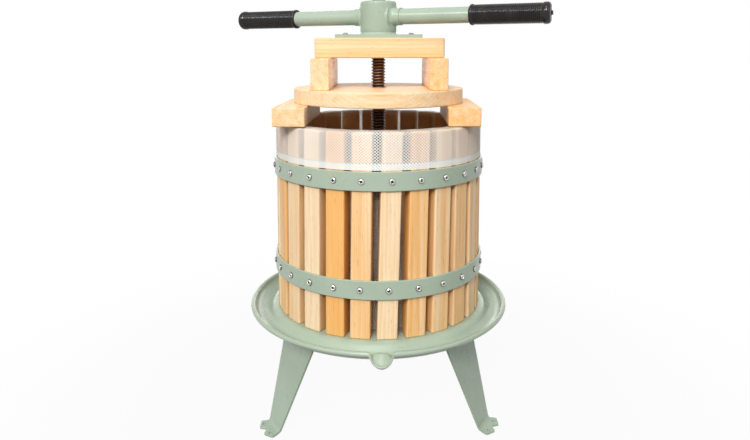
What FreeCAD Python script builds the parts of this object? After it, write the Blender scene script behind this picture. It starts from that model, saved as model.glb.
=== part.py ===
import FreeCAD, Part
import math
import os

from FreeCAD import Vector

# A basket press for fruit: a slatted wooden basket on a three-legged pressed steel tray with a
# pouring spout. A threaded spindle stands up through it, and a nut with two handles is wound
# down on a crossbeam, blocks and a press disc.
# Millimetres. Z = 0 is the floor, the spindle stands on the Z axis and the spout points to -Y.

# ---- Sizes ----

# Tray
platform_height = 153.5       # floor to the flat top that the basket stands on
tray_sheet = 1.8
platform_margin = 2.0         # flat of the platform outside the staves
gutter_depth = 10.5           # gutter floor below the platform
gutter_step_angle = 75.0      # steepness of the step down to the gutter, in degrees
gutter_flat = 4.9
gutter_wall_width = 15.5      # the curved wall, measured outwards
rim_rise = 2.9                # top of the rolled rim above the platform
rim_bead = 2.0                # radius of the rolled rim
spout_half_width = 14.0       # at the rim
spout_tip_half_width = 11.0   # level with the rim
spout_reach = 13.5            # beyond the rim
spout_sill = 10.0             # its floor above the gutter floor, at the rim
spout_fall = 8.0              # from the rim to the tip
spout_lip = 2.0               # height of its edges at the tip

# Legs
leg_count = 3
leg_sheet = 3.0
leg_top_width = 104.0         # level with the tray's underside
leg_foot_width = 33.0         # at the floor
leg_top_inset = 29.0          # outer face under the platform, inside the platform's edge
leg_splay = 48.0              # how far the leg leans out between the platform and the floor
leg_bend = 5.0                # inside radius of the bends at the foot and at the top
leg_tab_length = 46.0         # level tab under the platform
leg_tab_width = 64.0          # at its inner end
foot_ear_turn = 30.0          # each ear turns this far from the leg's own direction, in degrees
foot_ear_width = 14.3
foot_ear_reach = 13.8         # from the leg's outer face to the middle of an ear's end
foot_ear_offset = 14.0        # from the leg's middle to the middle of an ear's end
foot_ear_corner = 2.0
foot_notch_root = 9.4         # from the leg's outer face to the notch between the ears
foot_height = 6.0             # the ears are cut out up to this height
foot_hole_radius = 2.5
foot_hole_inset = 5.0         # hole centre from the ear's end

# Leg bolts
leg_bolt_radius = 4.0
leg_bolt_play = 0.3
leg_bolt_head_radius = 8.0
leg_bolt_top_radius = 5.0
leg_bolt_head_height = 3.2
leg_bolt_spacing = 44.0
leg_bolt_inset = 17.0         # from the inner end of the tab
leg_bolt_tail = 2.0           # thread past the nut
leg_nut_flats = 13.0
leg_nut_height = 6.5

# Spindle
spindle_radius = 10.0
spindle_free_end = 9.0        # above the handle's hub
spindle_tail = 6.0            # below the lower nut
spindle_play = 0.3
spindle_nut_flats = 30.0
spindle_nut_height = 12.0
spindle_washer_radius = 20.0
spindle_washer_height = 3.0

# Basket
stave_count = 26
stave_width = 25.5
stave_thickness = 18.0
stave_height = 261.0
stave_round = 2.0             # rounding of the long outer edges
basket_radius = 145.0         # outer face of the staves
basket_turn = -2.4            # degrees from the spout to the middle of the nearest gap
hoop_width = 24.0
hoop_thickness = 3.0
hoop_fit = 0.05               # between the staves' edges and the hoops
lower_hoop_height = 64.4      # middle of the hoop above the platform
upper_hoop_height = 201.0
hoop_screw_radius = 2.0
hoop_screw_play = 0.05
hoop_screw_length = 14.0      # under the head
hoop_screw_head_radius = 4.0
hoop_screw_top_radius = 2.2
hoop_screw_head_height = 2.6

# Filter bag
bag_cloth = 0.8
soft_gap = 0.3                # clear of the wood and steel around it
bag_hem_gap = 1.2             # hem above the upper hoop
bag_hole_margin = 4.0         # round the spindle's upper nut

# Blocks, disc and crossbeam
block_length = 160.0
block_width = 42.0
block_thickness = 24.6
wood_edge = 1.5               # chamfer
lower_block_turn = -3.0       # degrees from square to the spout
lower_block_share = 0.78      # spindle to the middle of a lower block, as a share of the basket's radius
lower_block_forward = 22.0
upper_block_turn = -1.5
upper_block_share = 0.872     # spindle to the middle of an upper block, as a share of half the crossbeam
upper_block_shift = 1.8       # both upper blocks stand this far to the right
disc_margin = 5.8             # inside the bag
disc_thickness = 20.4
wood_hole_play = 2.0          # holes for the spindle in the disc and the crossbeam
beam_length = 179.0
beam_depth = 70.0
beam_height = 27.6
beam_shift = 1.2              # its middle, to the right of its hole

# Thrust plate and collar
plate_length = 121.0
plate_depth = 58.0
plate_thickness = 5.0
plate_hole_play = 1.0
plate_bolt_spacing = 94.0
plate_bolt_radius = 2.5
plate_bolt_play = 0.1
plate_bolt_length = 20.0
plate_bolt_head_radius = 4.0
plate_bolt_top_radius = 2.4
plate_bolt_head_height = 3.2
collar_base_radius = 28.0
collar_top_radius = 25.5
collar_height = 3.0

# Handle
handle_turn = -27.5           # degrees from the X axis to the right arm
hub_radius = 26.5
hub_height = 44.0
hub_edge = 4.0
thread_play = 0.05
socket_reach = 36.0           # spindle to the end of a socket
socket_wall = 1.2             # at its end
socket_flare = 7.0            # radius where a socket meets the hub
arm_radius = 11.0
arm_wall = 2.0
arm_fit = 0.05
arm_seat = 15.0               # spindle to the inner end of an arm
arm_reach = 237.5             # spindle to the outer end of an arm
grip_length = 105.0
grip_wall = 2.4
grip_collar_rise = 0.8
grip_collar_width = 5.0
grip_end_wall = 4.0
grip_end_round = 5.0
grip_nub_radius = 3.0
grip_nub_height = 2.0

# ---- Levels and radii worked out from the sizes ----

tray_underside = platform_height - tray_sheet
stave_top = platform_height + stave_height
stave_pitch = 360.0 / stave_count
stave_inner_radius = basket_radius - stave_thickness
stave_edge_radius = math.hypot(basket_radius, stave_width / 2 - stave_round)
hoop_inner_radius = stave_edge_radius + hoop_fit
hoop_outer_radius = hoop_inner_radius + hoop_thickness
upper_hoop_top = platform_height + upper_hoop_height + hoop_width / 2

platform_radius = math.hypot(basket_radius, stave_width / 2) + platform_margin
step_turn = math.radians(gutter_step_angle)
step_bend = gutter_depth / (2 * (1 - math.cos(step_turn)))
gutter_inner_radius = platform_radius + 2 * step_bend * math.sin(step_turn)
gutter_outer_radius = gutter_inner_radius + gutter_flat
gutter_floor = platform_height - gutter_depth
rim_height = platform_height + rim_rise - rim_bead
rim_middle_radius = gutter_outer_radius + gutter_wall_width + tray_sheet / 2
rim_radius = rim_middle_radius + rim_bead
spout_tip = -(rim_radius + spout_reach)

leg_top_radius = platform_radius - leg_top_inset
leg_floor_radius = leg_top_radius + leg_splay
foot_ear_angle = math.radians(foot_ear_turn)
foot_tip_radius = leg_floor_radius + foot_ear_reach + foot_ear_width / 2 * math.sin(foot_ear_angle)
foot_hole_circle = leg_floor_radius + foot_ear_reach - foot_hole_inset * math.cos(foot_ear_angle)
foot_hole_spacing = 2 * (foot_ear_offset - foot_hole_inset * math.sin(foot_ear_angle))
leg_bolt_circle = leg_top_radius - leg_tab_length + leg_bolt_inset
leg_angles = [90 + 360.0 / leg_count * i for i in range(leg_count)]

bag_outer_radius = stave_inner_radius - soft_gap
bag_inner_radius = bag_outer_radius - bag_cloth
bag_fold_inner_radius = stave_edge_radius + soft_gap
bag_fold_outer_radius = bag_fold_inner_radius + bag_cloth
bag_bottom = platform_height + leg_bolt_head_height + soft_gap
bag_top = stave_top + soft_gap + bag_cloth

lower_block_bottom = bag_top + soft_gap
lower_block_offset = lower_block_share * basket_radius
upper_block_offset = upper_block_share * beam_length / 2
disc_bottom = lower_block_bottom + block_thickness
disc_radius = bag_inner_radius - disc_margin
upper_block_bottom = disc_bottom + disc_thickness
beam_bottom = upper_block_bottom + block_width
plate_bottom = beam_bottom + beam_height
collar_bottom = plate_bottom + plate_thickness
hub_bottom = collar_bottom + collar_height
hub_top = hub_bottom + hub_height
arm_height = hub_bottom + hub_height / 2
grip_radius = arm_radius + grip_wall
socket_radius = arm_radius + socket_wall

spindle_washer_bottom = tray_underside - spindle_washer_height
spindle_nut_bottom = spindle_washer_bottom - spindle_nut_height
spindle_bottom = spindle_nut_bottom - spindle_tail
spindle_top = hub_top + spindle_free_end
spindle_nut_corner = spindle_nut_flats / 2 / math.cos(math.pi / 6)

UP = Vector(0, 0, 1)
OUT = Vector(1, 0, 0)
CENTRE = Vector(0, 0, 0)


# ---- Helpers ----

def save(shape, node):
    shape.exportStep("parts/" + node + ".step")


def moved(shape, x=0.0, y=0.0, z=0.0):
    copy = shape.copy()
    copy.translate(Vector(x, y, z))
    return copy


def turned(shape, degrees):
    copy = shape.copy()
    copy.rotate(CENTRE, UP, degrees)
    return copy


def pointing_out(shape):
    """A shape made along Z, laid along X instead."""
    copy = shape.copy()
    copy.rotate(CENTRE, Vector(0, 1, 0), 90)
    return copy


def upright(radius, bottom, top, x=0.0, y=0.0):
    return Part.makeCylinder(radius, top - bottom, Vector(x, y, bottom))


def box(x_size, y_size, z_size, bottom, x=0.0, y=0.0):
    corner = Vector(x - x_size / 2, y - y_size / 2, bottom)
    return Part.makeBox(x_size, y_size, z_size, corner)


def line(start, end):
    return Part.LineSegment(Vector(start[0], 0, start[1]), Vector(end[0], 0, end[1])).toShape()


def arc(start, middle, end):
    points = [Vector(r, 0, z) for r, z in (start, middle, end)]
    return Part.Arc(*points).toShape()


def polyline(points):
    return [line(a, b) for a, b in zip(points, points[1:])]


def flat_face(edges):
    return Part.Face(Part.Wire(Part.sortEdges(edges)[0]))


def spun(edges):
    """The solid that a closed outline in the XZ plane sweeps round the Z axis."""
    return flat_face(edges).revolve(CENTRE, UP, 360)


def hexagon(flats, bottom, height, x=0.0, y=0.0):
    corner = flats / 2 / math.cos(math.pi / 6)
    angles = [math.radians(60 * i) for i in range(7)]
    points = [Vector(x + corner * math.cos(a), y + corner * math.sin(a), bottom) for a in angles]
    return Part.Face(Part.makePolygon(points)).extrude(UP * height)


def low_head_screw(head_radius, top_radius, head_height, shank_radius, length):
    """Points down from Z = 0, with a low sloping head above."""
    return spun(polyline([
        (0, head_height), (0, -length), (shank_radius, -length), (shank_radius, 0), (head_radius, 0),
        (top_radius, head_height), (0, head_height)]))


# ---- Tray ----

def about(middle, radius, turn, across, down):
    """The point on an arc round middle, turned from straight up or straight down."""
    return (middle[0] + across * radius * math.sin(turn), middle[1] + down * radius * math.cos(turn))


def wall_ellipse(wide, tall):
    """A quarter of an ellipse that rises from the gutter floor and ends upright at the rim."""
    middle = Vector(gutter_outer_radius, 0, rim_height)
    outer = Vector(gutter_outer_radius + wide, 0, rim_height)
    lowest = Vector(gutter_outer_radius, 0, rim_height - tall)
    if wide > tall:
        return Part.ArcOfEllipse(Part.Ellipse(outer, lowest, middle), 0, math.pi / 2).toShape()
    return Part.ArcOfEllipse(Part.Ellipse(lowest, outer, middle), 0, math.pi / 2).toShape()


def tray_face(depth):
    """The sheet's face at this depth below its top face, from the spindle to the rim."""
    crest = (platform_radius, platform_height - step_bend)
    root = (gutter_inner_radius, gutter_floor + step_bend)
    half = step_turn / 2
    tight = step_bend - depth
    wide = step_bend + depth
    level = platform_height - depth
    return [
        line((0, level), (platform_radius, level)),
        arc((platform_radius, level), about(crest, tight, half, 1, 1), about(crest, tight, step_turn, 1, 1)),
        arc(about(root, wide, step_turn, -1, -1), about(root, wide, half, -1, -1),
            (gutter_inner_radius, gutter_floor - depth)),
        line((gutter_inner_radius, gutter_floor - depth), (gutter_outer_radius, gutter_floor - depth)),
        wall_ellipse(gutter_wall_width + depth, rim_height - gutter_floor + depth),
    ]


def tray_sheet_body():
    wall = gutter_outer_radius + gutter_wall_width
    ends = [line((0, tray_underside), (0, platform_height)),
            line((wall, rim_height), (wall + tray_sheet, rim_height))]
    sheet = spun(tray_face(0) + tray_face(tray_sheet) + ends)
    bead = Part.makeTorus(rim_middle_radius, rim_bead, Vector(0, 0, rim_height))
    return sheet.fuse(bead)


def tray_inside():
    """Everything above the sheet's top face and inside the rim."""
    wall = gutter_outer_radius + gutter_wall_width
    above = platform_height + 2 * gutter_depth
    return spun(tray_face(0) + polyline([(wall, rim_height), (wall, above), (0, above), (0, platform_height)]))


def spout_section(y, half_width, floor, grown):
    """An outline across the spout: an arc for its floor, with upright sides above the rim."""
    left, right = (Vector(sign * (half_width + grown), y, rim_height) for sign in (-1, 1))
    bowl = Part.Arc(left, Vector(0, y, floor - grown), right).toShape()
    above = UP * (rim_bead + 2 * rim_rise)
    corners = (right, right + above, left + above, left)
    sides = [Part.LineSegment(a, b).toShape() for a, b in zip(corners, corners[1:])]
    return Part.Wire([bowl] + sides)


def spout_channel(grown):
    """A trough that crosses the gutter wall level, then narrows and falls to the tip."""
    sill = gutter_floor + spout_sill
    return Part.makeLoft([
        spout_section(-gutter_outer_radius, spout_half_width, sill, grown),
        spout_section(-rim_middle_radius, spout_half_width, sill, grown),
        spout_section(spout_tip, spout_tip_half_width, sill - spout_fall, grown)], True, True)


def spout_lip_cut():
    """Slopes the spout's edges down from the rim to its tip."""
    top = rim_height + rim_bead
    run = -spout_tip - rim_middle_radius
    drop = top - (gutter_floor + spout_sill - spout_fall + spout_lip)
    half = spout_half_width + rim_radius - gutter_outer_radius
    corners = [(-gutter_outer_radius, top), (-rim_middle_radius, top), (spout_tip - run, top - 2 * drop),
               (spout_tip - run, top + drop), (-gutter_outer_radius, top + drop)]
    points = [Vector(-half, y, z) for y, z in corners]
    return Part.Face(Part.makePolygon(points + points[:1])).extrude(OUT * 2 * half)


def make_tray():
    hollow = spout_channel(0)
    shell = spout_channel(tray_sheet).cut(hollow)
    shell = shell.cut(tray_inside()).cut(spout_lip_cut())
    tray = tray_sheet_body().cut(hollow).fuse(shell)
    tray = tray.cut(upright(spindle_radius + spindle_play, tray_underside, platform_height))
    for hole in leg_bolt_places():
        tray = tray.cut(upright(leg_bolt_radius + leg_bolt_play, tray_underside, platform_height, *hole))
    return tray.removeSplitter()


# ---- Legs, each made along X and turned into place ----

def sheet_outline(path, thickness):
    """Both sides of a bent sheet whose middle follows the path, with mitred corners."""
    normals = []
    for (x1, z1), (x2, z2) in zip(path, path[1:]):
        length = math.hypot(x2 - x1, z2 - z1)
        normals.append(((z1 - z2) / length, (x2 - x1) / length))
    sides = ([], [])
    for i, (x, z) in enumerate(path):
        nx, nz = normals[max(i - 1, 0)]
        mx, mz = normals[min(i, len(normals) - 1)]
        reach = thickness / 2 / (1 + nx * mx + nz * mz)
        sides[0].append((x + (nx + mx) * reach, z + (nz + mz) * reach))
        sides[1].append((x - (nx + mx) * reach, z - (nz + mz) * reach))
    return sides


def rounded_edges(shape, radius, places):
    """Rounds the edges across the sheet that pass through these (x, z) places."""
    chosen = []
    for edge in shape.Edges:
        middle = edge.CenterOfMass
        if any(math.hypot(middle.x - x, middle.z - z) < leg_sheet / 10 for x, z in places):
            chosen.append(edge)
    return shape.makeFillet(radius, chosen)


def leg_strip():
    """Tab, panel and foot as one bent strip, wider than the leg."""
    half = leg_sheet / 2
    path = [(leg_top_radius - leg_tab_length, tray_underside - half),
            (leg_top_radius - half, tray_underside - half),
            (leg_floor_radius - half, half),
            (foot_tip_radius, half)]
    above, below = sheet_outline(path, leg_sheet)
    corners = above + below[::-1]
    points = [Vector(x, -leg_top_width, z) for x, z in corners]
    strip = Part.Face(Part.makePolygon(points + points[:1])).extrude(Vector(0, 2 * leg_top_width, 0))
    strip = rounded_edges(strip, leg_bend, [below[1], above[2]])
    return rounded_edges(strip, leg_bend + leg_sheet, [above[1], below[2]])


def flat_shape(corners, bottom, top):
    """A plan outline carried straight up."""
    points = [Vector(x, y, bottom) for x, y in corners]
    return Part.Face(Part.makePolygon(points + points[:1])).extrude(UP * (top - bottom))


def leg_panel():
    """Seen from outside the leg narrows down to the floor, and its tab narrows towards the spindle."""
    inner = leg_top_radius - leg_tab_length
    corners = [(-leg_foot_width / 2, 0), (leg_foot_width / 2, 0),
               (leg_top_width / 2, tray_underside), (-leg_top_width / 2, tray_underside)]
    points = [Vector(inner, y, z) for y, z in corners]
    panel = Part.Face(Part.makePolygon(points + points[:1])).extrude(OUT * (leg_floor_radius - inner))
    half = leg_top_width / 2
    tab = [(inner, leg_tab_width / 2), (leg_top_radius - leg_bend, half), (leg_floor_radius, half)]
    return panel.common(flat_shape(tab + [(x, -y) for x, y in tab[::-1]], 0, tray_underside))


def foot_outline():
    """Two square ears that fork away from each other, with a notch between them."""
    along = (math.cos(foot_ear_angle), math.sin(foot_ear_angle))
    middle = (leg_floor_radius + foot_ear_reach, foot_ear_offset)
    half = foot_ear_width / 2
    ear = [(leg_floor_radius - leg_bend, leg_foot_width / 2), (leg_floor_radius, leg_foot_width / 2),
           (middle[0] - along[1] * half, middle[1] + along[0] * half),
           (middle[0] + along[1] * half, middle[1] - along[0] * half)]
    return ear + [(leg_floor_radius + foot_notch_root, 0)] + [(x, -y) for x, y in ear[::-1]]


def make_leg():
    foot = flat_shape(foot_outline(), 0, foot_height)
    ends = [edge for edge in foot.Edges
            if abs(edge.CenterOfMass.z - foot_height / 2) < foot_height / 10
            and edge.CenterOfMass.x > leg_floor_radius + foot_notch_root / 2
            and abs(edge.CenterOfMass.y) > foot_ear_corner]
    leg = leg_strip().common(leg_panel().fuse(foot.makeFillet(foot_ear_corner, ends)))
    for side in (-1, 1):
        leg = leg.cut(upright(foot_hole_radius, 0, leg_sheet, foot_hole_circle, side * foot_hole_spacing / 2))
        leg = leg.cut(upright(leg_bolt_radius + leg_bolt_play, tray_underside - leg_sheet, tray_underside,
                              leg_bolt_circle, side * leg_bolt_spacing / 2))
    return leg.removeSplitter()


def leg_bolt_places():
    places = []
    for angle in leg_angles:
        for side in (-1, 1):
            spot = Vector(leg_bolt_circle, side * leg_bolt_spacing / 2, 0)
            spot = turned(Part.Vertex(spot), angle).Point
            places.append((spot.x, spot.y))
    return places


def make_leg_bolts():
    length = tray_sheet + leg_sheet + leg_nut_height + leg_bolt_tail
    bolt = low_head_screw(leg_bolt_head_radius, leg_bolt_top_radius, leg_bolt_head_height, leg_bolt_radius, length)
    return Part.Compound([moved(bolt, x, y, platform_height) for x, y in leg_bolt_places()])


def make_leg_nuts():
    bottom = tray_underside - leg_sheet - leg_nut_height
    return Part.Compound([
        hexagon(leg_nut_flats, bottom, leg_nut_height, x, y)
        .cut(upright(leg_bolt_radius, bottom, bottom + leg_nut_height, x, y))
        for x, y in leg_bolt_places()])


# ---- Spindle ----

def make_spindle():
    return upright(spindle_radius, spindle_bottom, spindle_top)


def make_spindle_nut(bottom):
    nut = hexagon(spindle_nut_flats, bottom, spindle_nut_height)
    return nut.cut(upright(spindle_radius, bottom, bottom + spindle_nut_height))


def make_spindle_washer():
    washer = upright(spindle_washer_radius, spindle_washer_bottom, tray_underside)
    return washer.cut(upright(spindle_radius + spindle_play, spindle_washer_bottom, tray_underside))


# ---- Basket ----

def stave_angle(i):
    return -90 + basket_turn + (i + 0.5) * stave_pitch


def make_stave(i):
    stave = box(stave_thickness, stave_width, stave_height, platform_height, basket_radius - stave_thickness / 2)
    outer = [edge for edge in stave.Edges
             if abs(edge.CenterOfMass.x - basket_radius) < stave_round / 10
             and abs(edge.CenterOfMass.z - platform_height - stave_height / 2) < stave_round / 10]
    stave = stave.makeFillet(stave_round, outer)
    depth = hoop_screw_length - (hoop_outer_radius - basket_radius)
    for height in (lower_hoop_height, upper_hoop_height):
        pilot = pointing_out(upright(hoop_screw_radius, 0, depth))
        stave = stave.cut(moved(pilot, basket_radius - depth, 0, platform_height + height))
    return turned(stave, stave_angle(i))


def make_hoop(middle):
    bottom = platform_height + middle - hoop_width / 2
    hoop = upright(hoop_outer_radius, bottom, bottom + hoop_width)
    hoop = hoop.cut(upright(hoop_inner_radius, bottom, bottom + hoop_width))
    reach = 2 * hoop_thickness
    hole = pointing_out(upright(hoop_screw_radius + hoop_screw_play, 0, reach))
    hole = moved(hole, hoop_outer_radius - reach, 0, platform_height + middle)
    return hoop.cut([turned(hole, stave_angle(i)) for i in range(stave_count)])


def make_hoop_screws(middle):
    screw = low_head_screw(hoop_screw_head_radius, hoop_screw_top_radius, hoop_screw_head_height,
                           hoop_screw_radius, hoop_screw_length)
    screw = moved(pointing_out(screw), hoop_outer_radius, 0, platform_height + middle)
    return Part.Compound([turned(screw, stave_angle(i)) for i in range(stave_count)])


# ---- Filter bag: lines the basket and folds out over its top ----

def make_bag():
    hole = spindle_nut_corner + bag_hole_margin
    hem = upper_hoop_top + bag_hem_gap
    floor = bag_bottom + bag_cloth
    crest = bag_top - bag_cloth
    return spun(polyline([
        (hole, bag_bottom), (bag_outer_radius, bag_bottom), (bag_outer_radius, crest),
        (bag_fold_inner_radius, crest), (bag_fold_inner_radius, hem), (bag_fold_outer_radius, hem),
        (bag_fold_outer_radius, bag_top), (bag_inner_radius, bag_top), (bag_inner_radius, floor),
        (hole, floor), (hole, bag_bottom)]))


# ---- Blocks, disc and crossbeam ----

def make_block(x_size, y_size, z_size):
    block = box(x_size, y_size, z_size, 0)
    return block.makeChamfer(wood_edge, block.Edges)


def make_lower_block(side):
    block = turned(make_block(block_width, block_length, block_thickness), lower_block_turn)
    return moved(block, side * lower_block_offset, -lower_block_forward, lower_block_bottom)


def make_upper_block(side):
    block = turned(make_block(block_thickness, block_length, block_width), upper_block_turn)
    return moved(block, side * upper_block_offset + upper_block_shift, 0, upper_block_bottom)


def make_disc():
    disc = upright(disc_radius, disc_bottom, disc_bottom + disc_thickness)
    disc = disc.makeChamfer(wood_edge, [e for e in disc.Edges if e.Length > disc_radius])
    return disc.cut(upright(spindle_radius + wood_hole_play, disc_bottom, disc_bottom + disc_thickness))


def plate_bolt_offsets():
    return [side * plate_bolt_spacing / 2 for side in (-1, 1)]


def make_beam():
    beam = moved(make_block(beam_length, beam_depth, beam_height), beam_shift, 0, beam_bottom)
    beam = beam.cut(upright(spindle_radius + wood_hole_play, beam_bottom, plate_bottom))
    depth = plate_bolt_length - plate_thickness
    for x in plate_bolt_offsets():
        beam = beam.cut(upright(plate_bolt_radius, plate_bottom - depth, plate_bottom, x))
    return beam


# ---- Thrust plate and collar ----

def make_plate():
    plate = box(plate_length, plate_depth, plate_thickness, plate_bottom)
    plate = plate.cut(upright(spindle_radius + plate_hole_play, plate_bottom, collar_bottom))
    for x in plate_bolt_offsets():
        plate = plate.cut(upright(plate_bolt_radius + plate_bolt_play, plate_bottom, collar_bottom, x))
    return plate


def make_plate_bolts():
    bolt = low_head_screw(plate_bolt_head_radius, plate_bolt_top_radius, plate_bolt_head_height,
                          plate_bolt_radius, plate_bolt_length)
    return Part.Compound([moved(bolt, x, 0, collar_bottom) for x in plate_bolt_offsets()])


def make_collar():
    bore = spindle_radius + spindle_play
    return spun(polyline([
        (bore, collar_bottom), (collar_base_radius, collar_bottom), (collar_top_radius, hub_bottom),
        (bore, hub_bottom), (bore, collar_bottom)]))


# ---- Handle ----

def hub_barrel():
    flat = hub_radius - hub_edge
    round_middle = (flat + hub_edge * math.sin(math.pi / 4), hub_top - hub_edge * (1 - math.cos(math.pi / 4)))
    edges = polyline([(flat, hub_top), (0, hub_top), (0, hub_bottom), (collar_top_radius, hub_bottom),
                      (hub_radius, hub_bottom + hub_edge), (hub_radius, hub_top - hub_edge)])
    edges.append(arc((hub_radius, hub_top - hub_edge), round_middle, (flat, hub_top)))
    return spun(edges)


def hub_socket():
    """A collar for one arm, along X, that flares out in a hollow curve into the hub."""
    root = hub_radius - socket_flare / 2
    ring = (root + socket_flare, socket_radius + socket_flare)
    middle = (ring[0] - socket_flare * math.sin(math.pi / 4), ring[1] - socket_flare * math.cos(math.pi / 4))
    edges = polyline([(socket_reach, 0), (0, 0), (0, ring[1]), (root, ring[1])])
    edges.append(arc((root, ring[1]), middle, (ring[0], socket_radius)))
    edges += polyline([(ring[0], socket_radius), (socket_reach, socket_radius), (socket_reach, 0)])
    return moved(flat_face(edges).revolve(CENTRE, OUT, 360), 0, 0, arm_height)


def make_hub():
    hub = hub_barrel()
    for side in (0, 180):
        hub = hub.fuse(turned(hub_socket(), side))
    hub = hub.cut(upright(spindle_radius + thread_play, hub_bottom, hub_top))
    for side in (0, 180):
        seat = moved(pointing_out(upright(arm_radius + arm_fit, 0, socket_reach)), arm_seat, 0, arm_height)
        hub = hub.cut(turned(seat, side))
    return turned(hub, handle_turn)


def make_arm(side):
    length = arm_reach - arm_seat
    tube = upright(arm_radius, 0, length).cut(upright(arm_radius - arm_wall, 0, length))
    return turned(moved(pointing_out(tube), arm_seat, 0, arm_height), handle_turn + side)


def make_grip(side):
    """A closed sleeve with a raised ring at each end and a small nub on its rounded end."""
    bore = arm_radius + arm_fit
    ring = grip_radius + grip_collar_rise
    end = grip_length
    flat = ring - grip_end_round
    corner = (flat + grip_end_round * math.sin(math.pi / 4), end - grip_end_round * (1 - math.cos(math.pi / 4)))
    ring_start = end - grip_end_round - grip_collar_width
    edges = polyline([
        (flat, end), (grip_nub_radius, end), (grip_nub_radius, end + grip_nub_height),
        (0, end + grip_nub_height), (0, end - grip_end_wall), (bore, end - grip_end_wall), (bore, 0),
        (ring, 0), (ring, grip_collar_width), (grip_radius, grip_collar_width),
        (grip_radius, ring_start), (ring, ring_start), (ring, end - grip_end_round)])
    edges.append(arc((ring, end - grip_end_round), corner, (flat, end)))
    start = arm_reach + grip_end_wall - grip_length
    return turned(moved(pointing_out(spun(edges)), start, 0, arm_height), handle_turn + side)


# ---- Files ----

def save_stand():
    leg = make_leg()
    save(make_tray(), "tray")
    for node, angle in zip(("leg_rear", "leg_front_left", "leg_front_right"), leg_angles):
        save(turned(leg, angle), node)
    save(make_leg_bolts(), "leg_bolts")
    save(make_leg_nuts(), "leg_nuts")
    save(make_spindle(), "spindle")
    save(make_spindle_nut(platform_height), "spindle_upper_nut")
    save(make_spindle_nut(spindle_nut_bottom), "spindle_lower_nut")
    save(make_spindle_washer(), "spindle_washer")


def save_basket():
    for i in range(stave_count):
        save(make_stave(i), "stave_%02d" % (i + 1))
    for name, middle in (("lower_hoop", lower_hoop_height), ("upper_hoop", upper_hoop_height)):
        save(make_hoop(middle), name)
        save(make_hoop_screws(middle), name + "_screws")
    save(make_bag(), "filter_bag")


def save_press():
    for name, side in (("left", -1), ("right", 1)):
        save(make_lower_block(side), "lower_block_" + name)
        save(make_upper_block(side), "upper_block_" + name)
    save(make_disc(), "press_disc")
    save(make_beam(), "crossbeam")
    save(make_plate(), "thrust_plate")
    save(make_plate_bolts(), "plate_bolts")
    save(make_collar(), "thrust_collar")


def save_handle():
    save(make_hub(), "handle_hub")
    for name, side in (("right", 0), ("left", 180)):
        save(make_arm(side), name + "_arm")
        save(make_grip(side), name + "_grip")


os.makedirs("parts", exist_ok=True)
save_stand()
save_basket()
save_press()
save_handle()
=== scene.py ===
import math

import bmesh
import bpy
import numpy as np
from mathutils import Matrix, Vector


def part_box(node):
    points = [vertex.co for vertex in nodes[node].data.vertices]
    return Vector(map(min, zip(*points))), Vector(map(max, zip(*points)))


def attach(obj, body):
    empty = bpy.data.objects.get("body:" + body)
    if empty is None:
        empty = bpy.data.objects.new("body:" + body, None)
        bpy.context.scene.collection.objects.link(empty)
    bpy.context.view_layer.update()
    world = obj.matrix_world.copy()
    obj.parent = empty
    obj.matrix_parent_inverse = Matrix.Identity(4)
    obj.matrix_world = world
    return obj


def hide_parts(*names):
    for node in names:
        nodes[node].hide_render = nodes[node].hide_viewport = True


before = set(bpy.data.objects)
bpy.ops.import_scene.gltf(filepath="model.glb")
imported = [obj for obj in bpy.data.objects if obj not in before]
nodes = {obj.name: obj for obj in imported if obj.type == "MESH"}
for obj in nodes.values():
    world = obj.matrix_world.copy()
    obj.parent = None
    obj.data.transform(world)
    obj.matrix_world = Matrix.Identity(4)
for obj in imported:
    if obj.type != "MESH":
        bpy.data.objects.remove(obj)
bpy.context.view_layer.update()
fullTurn = 2 * math.pi


# camera: in front of the spout, a little above the basket, pitched slightly down

camera = {
    "distance": 0.8829,      # from the spindle, along the floor
    "height": 0.514,
    "turn": math.radians(-1.2),
    "pitch": math.radians(5.214),
    "lens": 29.53,
    "shiftX": -0.00453,
    "shiftY": -0.1519,
    "sensor": 36.0,
    "nearest": 0.01,
}


def addCamera(look):
    # distance and turn give its place round the spindle; it faces the spindle
    data = bpy.data.cameras.new("camera")
    data.lens = look["lens"]
    data.sensor_width = look["sensor"]
    data.shift_x = look["shiftX"]
    data.shift_y = look["shiftY"]
    data.clip_start = look["nearest"]
    viewer = bpy.data.objects.new("camera", data)
    across, away = math.sin(look["turn"]), -math.cos(look["turn"])
    viewer.location = (look["distance"] * across, look["distance"] * away, look["height"])
    viewer.rotation_euler = (math.pi / 2 - look["pitch"], 0.0, look["turn"])
    bpy.context.scene.collection.objects.link(viewer)
    bpy.context.scene.camera = viewer


addCamera(camera)
print("camera placed")


# shader values with ordinary arithmetic

class Wire:
    # one output socket; arithmetic with another wire or a number adds a Math node
    def __init__(self, paint, socket):
        self.paint = paint
        self.socket = socket

    def maths(self, operation, *others):
        return self.paint.maths(operation, self, *others)

    def __add__(self, other):
        return self.paint.maths("ADD", self, other)

    def __sub__(self, other):
        return self.paint.maths("SUBTRACT", self, other)

    def __rsub__(self, other):
        return self.paint.maths("SUBTRACT", other, self)

    def __mul__(self, other):
        return self.paint.maths("MULTIPLY", self, other)

    def __rmul__(self, other):
        return self.paint.maths("MULTIPLY", other, self)

    def __truediv__(self, other):
        return self.paint.maths("DIVIDE", self, other)

    def __pow__(self, other):
        return self.paint.maths("POWER", self, other)


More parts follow.
